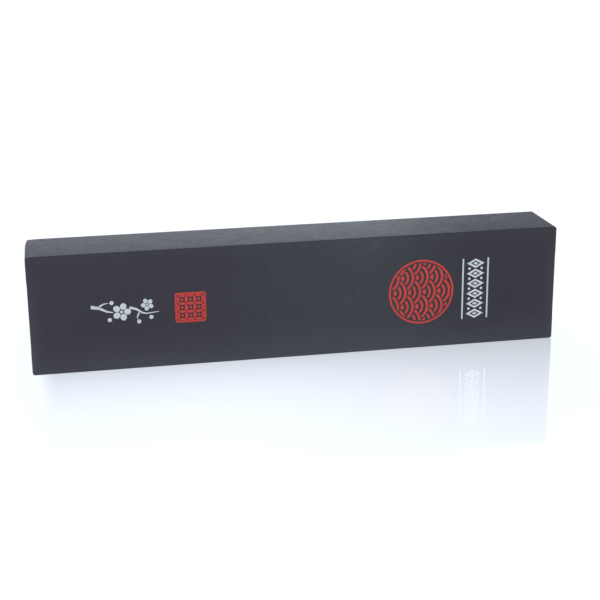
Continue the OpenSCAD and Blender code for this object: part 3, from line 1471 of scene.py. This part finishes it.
@dataclass
class StoneBlock:
    """A block of stone with worn chamfers, or one layer of one."""

    node: str
    body: Body
    finish: bpy.types.Material
    slot: str
    chamfer: float
    front_bonded: bool = False
    back_bonded: bool = False
    bond_groove: float = 0.15 * MM
    facet: float = 1.6 * MM
    side_steps: int = 9
    panel_margin: float = 1.0 * MM
    arris: float = 0.25 * MM
    arris_steps: int = 2
    chip_depth: float = 0.35 * MM
    chip_size: float = 2.6 * MM
    chip_reach: float = 1.5
    chip_start: float = 0.15
    chip_span: float = 0.5

    def __post_init__(self) -> None:
        """Take the size and the place from the solid."""
        self.box = Extent.of(self.node)

    def chip(self, point: Vector) -> None:
        """Sink the arrises a little, here and there.

        Args:
            point: A point of the block, which is moved.
        """
        _, to_arris, _ = self.box.gaps(point)
        near = max(0.0, 1 - to_arris / (self.chip_reach * self.chamfer))
        bite = ease((noise.noise(point / self.chip_size) - self.chip_start) / self.chip_span)
        point += (self.box.middle - point).normalized() * near * bite * self.chip_depth

    def build(self) -> None:
        """Make the block."""
        size = self.box.size
        front = self.bond_groove if self.front_bonded else self.chamfer
        back = self.bond_groove if self.back_bonded else self.chamfer
        along, across = (even_shares(round(side / self.facet)) for side in (size.x, size.z))
        skin = Loft(Plan(size.x, size.z, self.chamfer, along, across, corner_steps=1), self.box.behind)
        sides = [(0.0, level) for level in spread(front, size.y - back, self.side_steps)]
        skin.panel(self.chamfer + self.panel_margin, 0)
        skin.rings([(front, 0.0), *sides, (back, size.y)])
        skin.panel(self.chamfer + self.panel_margin, size.y)
        for vert in skin.mesh.verts:
            self.chip(vert.co)
        piece = make_piece(f"{self.node}_block", skin.mesh, self.finish)
        softened = piece.modifiers.new("arris", "BEVEL")
        softened.width = self.arris
        softened.segments = self.arris_steps
        softened.limit_method = "ANGLE"
        settle(piece, self.body, self.slot, self.node)


@dataclass
class Studio:
    """White floor, even light, and the camera at the picture's viewing angle."""

    eye: Triple = (-133.5 * MM, -725.7 * MM, 259.3 * MM)
    yaw: float = 10.68
    pitch: float = 17.445
    roll: float = -0.543
    lens: float = 80.47
    sensor: float = 36.0
    floor_reach: float = 6.0
    floor_tone: Colour = (0.92, 0.92, 0.92)
    floor_gloss: float = 0.07
    picture_white: Colour = (1.03, 1.10, 1.20)
    light_tone: Colour = (0.93, 1.0, 1.08)
    shadow_lift: float = 0.90
    shadow_reach: Range = (0.02, 0.20)
    left_mirror: float = 0.33
    left_half: float = 0.026
    left_fade: float = 0.013
    right_mirror: float = 0.435
    right_half: float = 0.085
    side_fall: float = 8.0
    dim_left: float = 0.735
    glow_side: Range = (-0.10, 0.26)
    glow_rise: float = 0.22
    dim_right: Range = (0.15, 0.40)
    dim_above: Range = (0.40, 0.56)
    dim_fall: float = 0.55

    def camera(self) -> None:
        """Set up the camera."""
        yaw = math.radians(self.yaw)
        pitch = math.radians(self.pitch)
        level = Vector((math.sin(yaw), math.cos(yaw), 0))
        ahead = math.cos(pitch) * level - math.sin(pitch) * Vector((0, 0, 1))
        right = Vector((math.cos(yaw), -math.sin(yaw), 0))
        up = right.cross(ahead)
        turned = Matrix.Rotation(-math.radians(self.roll), 3, ahead)
        axes = Matrix((turned @ right, turned @ up, -ahead)).transposed()
        data = bpy.data.cameras.new("picture_camera")
        data.lens = self.lens
        data.sensor_width = self.sensor
        camera = bpy.data.objects.new("picture_camera", data)
        camera.matrix_world = Matrix.Translation(self.eye) @ axes.to_4x4()
        bpy.context.scene.collection.objects.link(camera)
        bpy.context.scene.camera = camera

    def rays(self, graph: Graph) -> tuple[Wire, Wire]:
        """Tell rays that show the background from rays that only light the object.

        Args:
            graph: The nodes of the floor or of the world.

        Returns:
            1 for what the camera sees itself, and 1 for that and what it sees mirrored or through glass.
        """
        path = graph.add("ShaderNodeLightPath")
        camera, glossy, through = (
            Wire(graph, path.outputs[f"Is {kind} Ray"]) for kind in ("Camera", "Glossy", "Transmission")
        )
        return camera, (camera + glossy + through).smooth(0.0, 1.0)

    def from_foot(self, graph: Graph) -> Wire:
        """Tell how far a point of the floor lies from the object's foot.

        Args:
            graph: The floor's nodes.

        Returns:
            The distance in metres, which grows faster beside the object than before and behind it.
        """
        right_end, back, _ = solid_bounds[1]
        beyond = graph.vector("SUBTRACT", graph.vector("ABSOLUTE", graph.place()), (right_end, back, 0.0))
        weighed = graph.vector("MULTIPLY", beyond, (self.side_fall, 1.0, 1.0))
        outside = graph.vector("MAXIMUM", weighed, (0.0, 0.0, 0.0))
        return graph.vector("LENGTH", outside, output="Value")

    def image(self, graph: Graph, away: Wire) -> Wire:
        """Fade the floor's mirror image by halves, in longer steps on the right, and at its left end.

        Args:
            graph: The floor's nodes.
            away: Distance from the object's foot.

        Returns:
            The share of the image.
        """
        left_end, right_end = (corner[0] for corner in solid_bounds)
        along, _, _ = graph.axes(graph.place())
        to_right = along.smooth(left_end / 2, right_end)
        shown = along.smooth(left_end, left_end + self.left_fade) * self.left_mirror
        left_image = 0.5 ** (away * (1 / self.left_half)) * shown
        right_image = 0.5 ** (away * (1 / self.right_half)) * self.right_mirror
        return left_image + to_right * (right_image - left_image)

    def floor(self) -> None:
        """Lay a glossy white floor that keeps the object's shadow."""
        made = bpy.data.materials.new("white_floor")
        graph = Graph(made)
        away = self.from_foot(graph)
        camera, shown = self.rays(graph)
        lift = self.shadow_lift + away.smooth(*self.shadow_reach) * (1 - self.shadow_lift)
        tone = graph.wire("ShaderNodeBsdfDiffuse", None, {"Color": self.floor_tone})
        colour = graph.mix(camera, self.light_tone, self.picture_white)
        glow = graph.wire("ShaderNodeEmission", None, {"Color": colour, "Strength": 1.0})
        gloss = graph.wire("ShaderNodeBsdfGlossy", None, {"Color": EVEN, "Roughness": self.floor_gloss})
        body = graph.wire("ShaderNodeMixShader", None, {0: shown * lift, 1: tone, 2: glow})
        glazed = graph.wire("ShaderNodeMixShader", None, {0: self.image(graph, away), 1: body, 2: gloss})
        graph.add("ShaderNodeOutputMaterial", None, {"Surface": glazed})
        mesh = bmesh.new()
        bmesh.ops.create_grid(mesh, x_segments=1, y_segments=1, size=self.floor_reach)
        floor = make_piece("studio_floor", mesh, made)

    def light(self) -> None:
        """Light the studio from all round, less from the left and least from high up on the right."""
        world = bpy.data.worlds.new("studio_light")
        graph = Graph(world)
        right, _, up = graph.axes(graph.wire("ShaderNodeTexCoord", output="Generated"))
        dim = right.smooth(*self.dim_right) * up.smooth(*self.dim_above) * self.dim_fall
        shade = self.dim_left + right.smooth(*self.glow_side) * self.glow_rise - dim
        camera, _ = self.rays(graph)
        colour = graph.mix(camera, self.light_tone, self.picture_white)
        strength = shade + camera * (1 - shade)
        glow = graph.wire("ShaderNodeBackground", None, {"Color": colour, "Strength": strength})
        graph.add("ShaderNodeOutputWorld", None, {"Surface": glow})
        bpy.context.scene.world = world

    def build(self) -> None:
        """Set up the camera, the floor and the light."""
        bpy.context.scene.view_settings.view_transform = "Standard"
        self.camera()
        self.floor()
        self.light()


def boards(half: str, *sides: str) -> list[str]:
    """Name boards of one half of the box by their sides."""
    return [f"{half}_{side}_board" for side in sides]


def main() -> None:
    """Build and dress every piece, in order."""
    logging.basicConfig(level=logging.INFO, format="%(name)s: %(message)s")
    Studio().build()
    covering = CoveringPaper().material()
    lining = FibrePaper("lining_paper", (0.020, 0.020, 0.022), (0.036, 0.036, 0.040), 0.5 * MM).material()
    greyboard = FibrePaper("greyboard", (0.20, 0.175, 0.145), (0.33, 0.30, 0.25), 0.9 * MM).material()
    kraft = FibrePaper("gummed_kraft", (0.36, 0.23, 0.10), (0.55, 0.40, 0.21), 0.6 * MM).material()
    dress(lining, ["lid_liner", "base_liner"])
    dress(greyboard, boards("lid", "face", "lower", "right"))
    dress(greyboard, boards("base", "floor", "upper", "lower", "left", "right"))
    dress(kraft, ["base_corner_stays"])
    knock = Knock()
    for board in boards("lid", "upper", "left"):
        knock.pressed(board, greyboard, "greyboard")
    knock.pressed("lid_corner_stays", kraft, "gummed_paper")
    CoveredHalf(Body.LID, covering, knock).build()
    CoveredHalf(Body.BASE, covering).build()
    red = Ink("red_ink", full=(0.82, 0.058, 0.037), thin=(0.60, 0.042, 0.027)).material()
    white = Ink("white_ink", full=(0.86, 0.89, 0.90), thin=(0.72, 0.75, 0.76)).material()
    LidPrint(red, white).build()
    FoamFitting(FoamFinish().material()).build()
    coarse = Grit(
        "coarse_grit",
        body=(0.33, 0.098, 0.045),
        pale=(0.50, 0.20, 0.11),
        dark=(0.15, 0.04, 0.02),
        grain=0.38 * MM,
    ).material()
    fine = Grit(
        "fine_grit",
        body=(0.70, 0.61, 0.42),
        pale=(0.82, 0.75, 0.58),
        dark=(0.48, 0.39, 0.24),
        grain=0.22 * MM,
    ).material()
    sawn = SawnStone().material()
    chamfer, dressing_chamfer = 1.6 * MM, 1.2 * MM
    for block in (
        StoneBlock("stone_coarse_layer", Body.WHETSTONE, coarse, "coarse_stone", chamfer, front_bonded=True),
        StoneBlock("stone_fine_layer", Body.WHETSTONE, fine, "fine_stone", chamfer, back_bonded=True),
        StoneBlock("dressing_stone", Body.DRESSING_STONE, sawn, "dressing_stone", dressing_chamfer),
    ):
        block.build()


if __name__ == "__main__":
    main()
